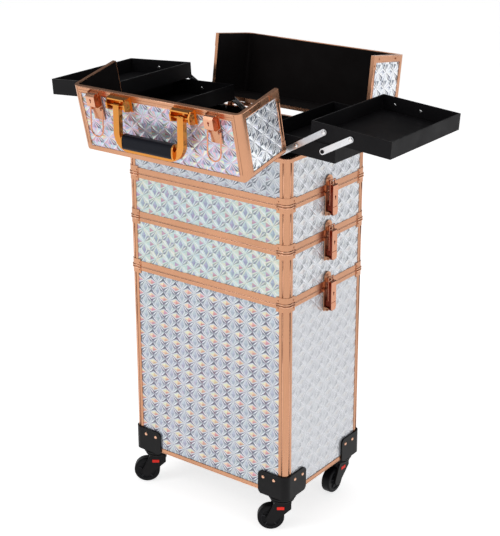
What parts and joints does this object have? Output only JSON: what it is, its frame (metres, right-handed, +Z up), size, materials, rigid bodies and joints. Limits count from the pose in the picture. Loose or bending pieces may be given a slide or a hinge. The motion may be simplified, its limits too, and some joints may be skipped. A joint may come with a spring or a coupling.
{
  "type": "makeup train case",
  "caption": "Rolling beauty case of stacked lift-off boxes on swivel castors, with two hinged lids, four cantilever trays, a bail handle and draw latches.",
  "frame": {"origin": "on the floor under the middle of the case", "axes": "+X to the right, -Y the side with the handle and lid latches, +Z up"},
  "size_m": [0.7096, 0.5029, 0.8148],
  "materials": {
    "embossed_silver_panel": "iridescent embossed film over board",
    "rose_gold_aluminium": "satin anodised rose gold",
    "polished_gold": "polished gold plate",
    "grip_rubber": "smooth matt",
    "black_lining": "fine matt lining",
    "satin_aluminium": "satin",
    "wheel_rubber": "semi-gloss",
    "red_button": "gloss",
    "black_plastic": "moulded"
  },
  "bodies": {
    "bottom_case": {"bottom_shell": "embossed_silver_panel", "bottom_frame": "rose_gold_aluminium", "castor_brackets": "black_plastic", "bracket_rivets": "satin_aluminium", "bottom_latch_plates": "rose_gold_aluminium"},
    "level3": {"level3_shell": "embossed_silver_panel", "level3_frame": "rose_gold_aluminium", "level3_latch_parts": "rose_gold_aluminium"},
    "level2": {"level2_shell": "embossed_silver_panel", "level2_frame": "rose_gold_aluminium", "level2_latch_parts": "rose_gold_aluminium"},
    "top_case": {"top_shell": "embossed_silver_panel", "top_frame": "rose_gold_aluminium", "top_lining": "black_lining", "top_keepers": "rose_gold_aluminium", "arm_pivots": "satin_aluminium", "lid_hinge_pins": "rose_gold_aluminium"},
    "front_lid": {"front_lid_shell": "embossed_silver_panel", "front_lid_frame": "rose_gold_aluminium", "front_lid_lining": "black_lining", "lid_latch_plates": "rose_gold_aluminium", "handle_brackets": "polished_gold"},
    "back_lid": {"back_lid_shell": "embossed_silver_panel", "back_lid_frame": "rose_gold_aluminium", "back_lid_lining": "black_lining", "back_lid_keepers": "rose_gold_aluminium"},
    "handle": {"handle_loop": "polished_gold", "handle_grip": "grip_rubber"},
    "lid_lever_right": {"lid_lever_right": "polished_gold"},
    "lid_bail_right": {"lid_bail_right": "rose_gold_aluminium"},
    "lid_lever_left": {"lid_lever_left": "polished_gold"},
    "lid_bail_left": {"lid_bail_left": "rose_gold_aluminium"},
    "latch_top_right": {"latch_top_right": "rose_gold_aluminium"},
    "latch_top_left": {"latch_top_left": "rose_gold_aluminium"},
    "latch_middle_right": {"latch_middle_right": "rose_gold_aluminium"},
    "latch_middle_left": {"latch_middle_left": "rose_gold_aluminium"},
    "latch_low_right": {"latch_low_right": "rose_gold_aluminium"},
    "latch_low_left": {"latch_low_left": "rose_gold_aluminium"},
    "long_arms_right": {"long_arms_right": "satin_aluminium"},
    "inner_arms_right": {"inner_arms_right": "satin_aluminium"},
    "outer_arms_right": {"outer_arms_right": "satin_aluminium"},
    "lower_tray_right": {"lower_tray_right": "black_lining"},
    "upper_tray_right": {"upper_tray_right": "black_lining"},
    "long_arms_left": {"long_arms_left": "satin_aluminium"},
    "inner_arms_left": {"inner_arms_left": "satin_aluminium"},
    "outer_arms_left": {"outer_arms_left": "satin_aluminium"},
    "lower_tray_left": {"lower_tray_left": "black_lining"},
    "upper_tray_left": {"upper_tray_left": "black_lining"},
    "fork_front_right": {"fork_front_right": "black_plastic"},
    "wheel_front_right": {"wheel_front_right": "wheel_rubber"},
    "button_front_right": {"button_front_right": "red_button"},
    "fork_front_left": {"fork_front_left": "black_plastic"},
    "wheel_front_left": {"wheel_front_left": "wheel_rubber"},
    "button_front_left": {"button_front_left": "red_button"},
    "fork_back_right": {"fork_back_right": "black_plastic"},
    "wheel_back_right": {"wheel_back_right": "wheel_rubber"},
    "button_back_right": {"button_back_right": "red_button"},
    "fork_back_left": {"fork_back_left": "black_plastic"},
    "wheel_back_left": {"wheel_back_left": "wheel_rubber"},
    "button_back_left": {"button_back_left": "red_button"}
  },
  "joints": [
    {"name": "level3_lift", "type": "slide", "parent": "bottom_case", "child": "level3", "axis": [0, 0, 1], "range_m": [0, 0.12]},
    {"name": "level2_lift", "type": "slide", "parent": "level3", "child": "level2", "axis": [0, 0, 1], "range_m": [0, 0.12]},
    {"name": "top_case_lift", "type": "slide", "parent": "level2", "child": "top_case", "axis": [0, 0, 1], "range_m": [0, 0.12]},
    {"name": "front_lid_hinge", "type": "hinge", "parent": "top_case", "child": "front_lid", "pos_m": [0, -0.1215, 0.6947], "axis": [-1, 0, 0], "range_deg": [0, 27]},
    {"name": "back_lid_hinge", "type": "hinge", "parent": "top_case", "child": "back_lid", "pos_m": [0, 0.1215, 0.6947], "axis": [1, 0, 0], "range_deg": [0, 24]},
    {"name": "handle_swing", "type": "hinge", "parent": "front_lid", "child": "handle", "pos_m": [0, -0.25259, 0.7733], "axis": [-1, 0, 0], "range_deg": [-12, 82]},
    {"name": "lid_lever_right_hinge", "type": "hinge", "parent": "front_lid", "child": "lid_lever_right", "pos_m": [0.121, -0.24844, 0.78449], "axis": [-1, 0, 0], "range_deg": [0, 98]},
    {"name": "lid_bail_right_hinge", "type": "hinge", "parent": "front_lid", "child": "lid_bail_right", "pos_m": [0.121, -0.24251, 0.75815], "axis": [-1, 0, 0], "range_deg": [-12, 88]},
    {"name": "lid_lever_left_hinge", "type": "hinge", "parent": "front_lid", "child": "lid_lever_left", "pos_m": [-0.121, -0.24844, 0.78449], "axis": [-1, 0, 0], "range_deg": [0, 98]},
    {"name": "lid_bail_left_hinge", "type": "hinge", "parent": "front_lid", "child": "lid_bail_left", "pos_m": [-0.121, -0.24251, 0.75815], "axis": [-1, 0, 0], "range_deg": [-12, 88]},
    {"name": "latch_top_right_hinge", "type": "hinge", "parent": "level2", "child": "latch_top_right", "pos_m": [0.178, 0.003, 0.573], "axis": [0, 1, 0], "range_deg": [0, 110]},
    {"name": "latch_top_left_hinge", "type": "hinge", "parent": "level2", "child": "latch_top_left", "pos_m": [-0.178, 0.003, 0.573], "axis": [0, -1, 0], "range_deg": [0, 110]},
    {"name": "latch_middle_right_hinge", "type": "hinge", "parent": "level3", "child": "latch_middle_right", "pos_m": [0.178, 0.003, 0.493], "axis": [0, 1, 0], "range_deg": [0, 110]},
    {"name": "latch_middle_left_hinge", "type": "hinge", "parent": "level3", "child": "latch_middle_left", "pos_m": [-0.178, 0.003, 0.493], "axis": [0, -1, 0], "range_deg": [0, 110]},
    {"name": "latch_low_right_hinge", "type": "hinge", "parent": "bottom_case", "child": "latch_low_right", "pos_m": [0.178, 0.003, 0.4], "axis": [0, 1, 0], "range_deg": [0, 110]},
    {"name": "latch_low_left_hinge", "type": "hinge", "parent": "bottom_case", "child": "latch_low_left", "pos_m": [-0.178, 0.003, 0.4], "axis": [0, -1, 0], "range_deg": [0, 110]},
    {"name": "tray_fold_right", "type": "hinge", "parent": "top_case", "child": "long_arms_right", "pos_m": [0.129, 0, 0.6862], "axis": [0, -1, 0], "range_deg": [0, 120.4]},
    {"name": "lower_tray_right_level", "type": "hinge", "parent": "long_arms_right", "child": "lower_tray_right", "pos_m": [0.18055, 0, 0.71572], "axis": [0, -1, 0], "range_deg": [-117.82, 0]},
    {"name": "upper_tray_right_level", "type": "hinge", "parent": "long_arms_right", "child": "upper_tray_right", "pos_m": [0.23209, 0, 0.74524], "axis": [0, -1, 0], "range_deg": [-116.02, 0]},
    {"name": "inner_arms_right_swing", "type": "hinge", "parent": "top_case", "child": "inner_arms_right", "pos_m": [0.0797, 0, 0.6862], "axis": [0, -1, 0], "range_deg": [0, 118.56]},
    {"name": "outer_arms_right_swing", "type": "hinge", "parent": "lower_tray_right", "child": "outer_arms_right", "pos_m": [0.23, 0, 0.71347], "axis": [0, -1, 0], "range_deg": [0, 119.11]},
    {"name": "tray_fold_left", "type": "hinge", "parent": "top_case", "child": "long_arms_left", "pos_m": [-0.129, 0, 0.6862], "axis": [0, 1, 0], "range_deg": [0, 120.4]},
    {"name": "lower_tray_left_level", "type": "hinge", "parent": "long_arms_left", "child": "lower_tray_left", "pos_m": [-0.18055, 0, 0.71572], "axis": [0, 1, 0], "range_deg": [-117.82, 0]},
    {"name": "upper_tray_left_level", "type": "hinge", "parent": "long_arms_left", "child": "upper_tray_left", "pos_m": [-0.23209, 0, 0.74524], "axis": [0, 1, 0], "range_deg": [-116.02, 0]},
    {"name": "inner_arms_left_swing", "type": "hinge", "parent": "top_case", "child": "inner_arms_left", "pos_m": [-0.0797, 0, 0.6862], "axis": [0, 1, 0], "range_deg": [0, 118.56]},
    {"name": "outer_arms_left_swing", "type": "hinge", "parent": "lower_tray_left", "child": "outer_arms_left", "pos_m": [-0.23, 0, 0.71347], "axis": [0, 1, 0], "range_deg": [0, 119.11]},
    {"name": "castor_front_right_swivel", "type": "hinge", "parent": "bottom_case", "child": "fork_front_right", "pos_m": [0.144, -0.09, 0.06], "axis": [0, 0, 1], "continuous": true},
    {"name": "wheel_front_right_spin", "type": "hinge", "parent": "fork_front_right", "child": "wheel_front_right", "pos_m": [0.12803, -0.10204, 0.024], "axis": [-0.6018, 0.7986, 0], "continuous": true},
    {"name": "button_front_right_press", "type": "slide", "parent": "fork_front_right", "child": "button_front_right", "axis": [-0.6018, 0.7986, 0], "range_m": [0, 0.0012], "stiffness_N_per_m": 400, "springref_m": -0.0004},
    {"name": "castor_front_left_swivel", "type": "hinge", "parent": "bottom_case", "child": "fork_front_left", "pos_m": [-0.144, -0.09, 0.06], "axis": [0, 0, 1], "continuous": true},
    {"name": "wheel_front_left_spin", "type": "hinge", "parent": "fork_front_left", "child": "wheel_front_left", "pos_m": [-0.15997, -0.10204, 0.024], "axis": [-0.6018, 0.7986, 0], "continuous": true},
    {"name": "button_front_left_press", "type": "slide", "parent": "fork_front_left", "child": "button_front_left", "axis": [-0.6018, 0.7986, 0], "range_m": [0, 0.0012], "stiffness_N_per_m": 400, "springref_m": -0.0004},
    {"name": "castor_back_right_swivel", "type": "hinge", "parent": "bottom_case", "child": "fork_back_right", "pos_m": [0.144, 0.09, 0.06], "axis": [0, 0, 1], "continuous": true},
    {"name": "wheel_back_right_spin", "type": "hinge", "parent": "fork_back_right", "child": "wheel_back_right", "pos_m": [0.144, 0.07, 0.024], "axis": [-1, 0, 0], "continuous": true},
    {"name": "button_back_right_press", "type": "slide", "parent": "fork_back_right", "child": "button_back_right", "axis": [-1, 0, 0], "range_m": [0, 0.0012], "stiffness_N_per_m": 400, "springref_m": -0.0004},
    {"name": "castor_back_left_swivel", "type": "hinge", "parent": "bottom_case", "child": "fork_back_left", "pos_m": [-0.144, 0.09, 0.06], "axis": [0, 0, 1], "continuous": true},
    {"name": "wheel_back_left_spin", "type": "hinge", "parent": "fork_back_left", "child": "wheel_back_left", "pos_m": [-0.16279, 0.08316, 0.024], "axis": [-0.342, 0.9397, 0], "continuous": true},
    {"name": "button_back_left_press", "type": "slide", "parent": "fork_back_left", "child": "button_back_left", "axis": [-0.342, 0.9397, 0], "range_m": [0, 0.0012], "stiffness_N_per_m": 400, "springref_m": -0.0004}
  ],
  "couplings": [
    {"joint": "lower_tray_right_level", "follows": "tray_fold_right", "ratio": -0.9784},
    {"joint": "upper_tray_right_level", "follows": "tray_fold_right", "ratio": -0.96345},
    {"joint": "inner_arms_right_swing", "follows": "tray_fold_right", "ratio": 0.98459},
    {"joint": "outer_arms_right_swing", "follows": "tray_fold_right", "ratio": 0.98916},
    {"joint": "lower_tray_left_level", "follows": "tray_fold_left", "ratio": -0.9784},
    {"joint": "upper_tray_left_level", "follows": "tray_fold_left", "ratio": -0.96345},
    {"joint": "inner_arms_left_swing", "follows": "tray_fold_left", "ratio": 0.98459},
    {"joint": "outer_arms_left_swing", "follows": "tray_fold_left", "ratio": 0.98916}
  ]
}
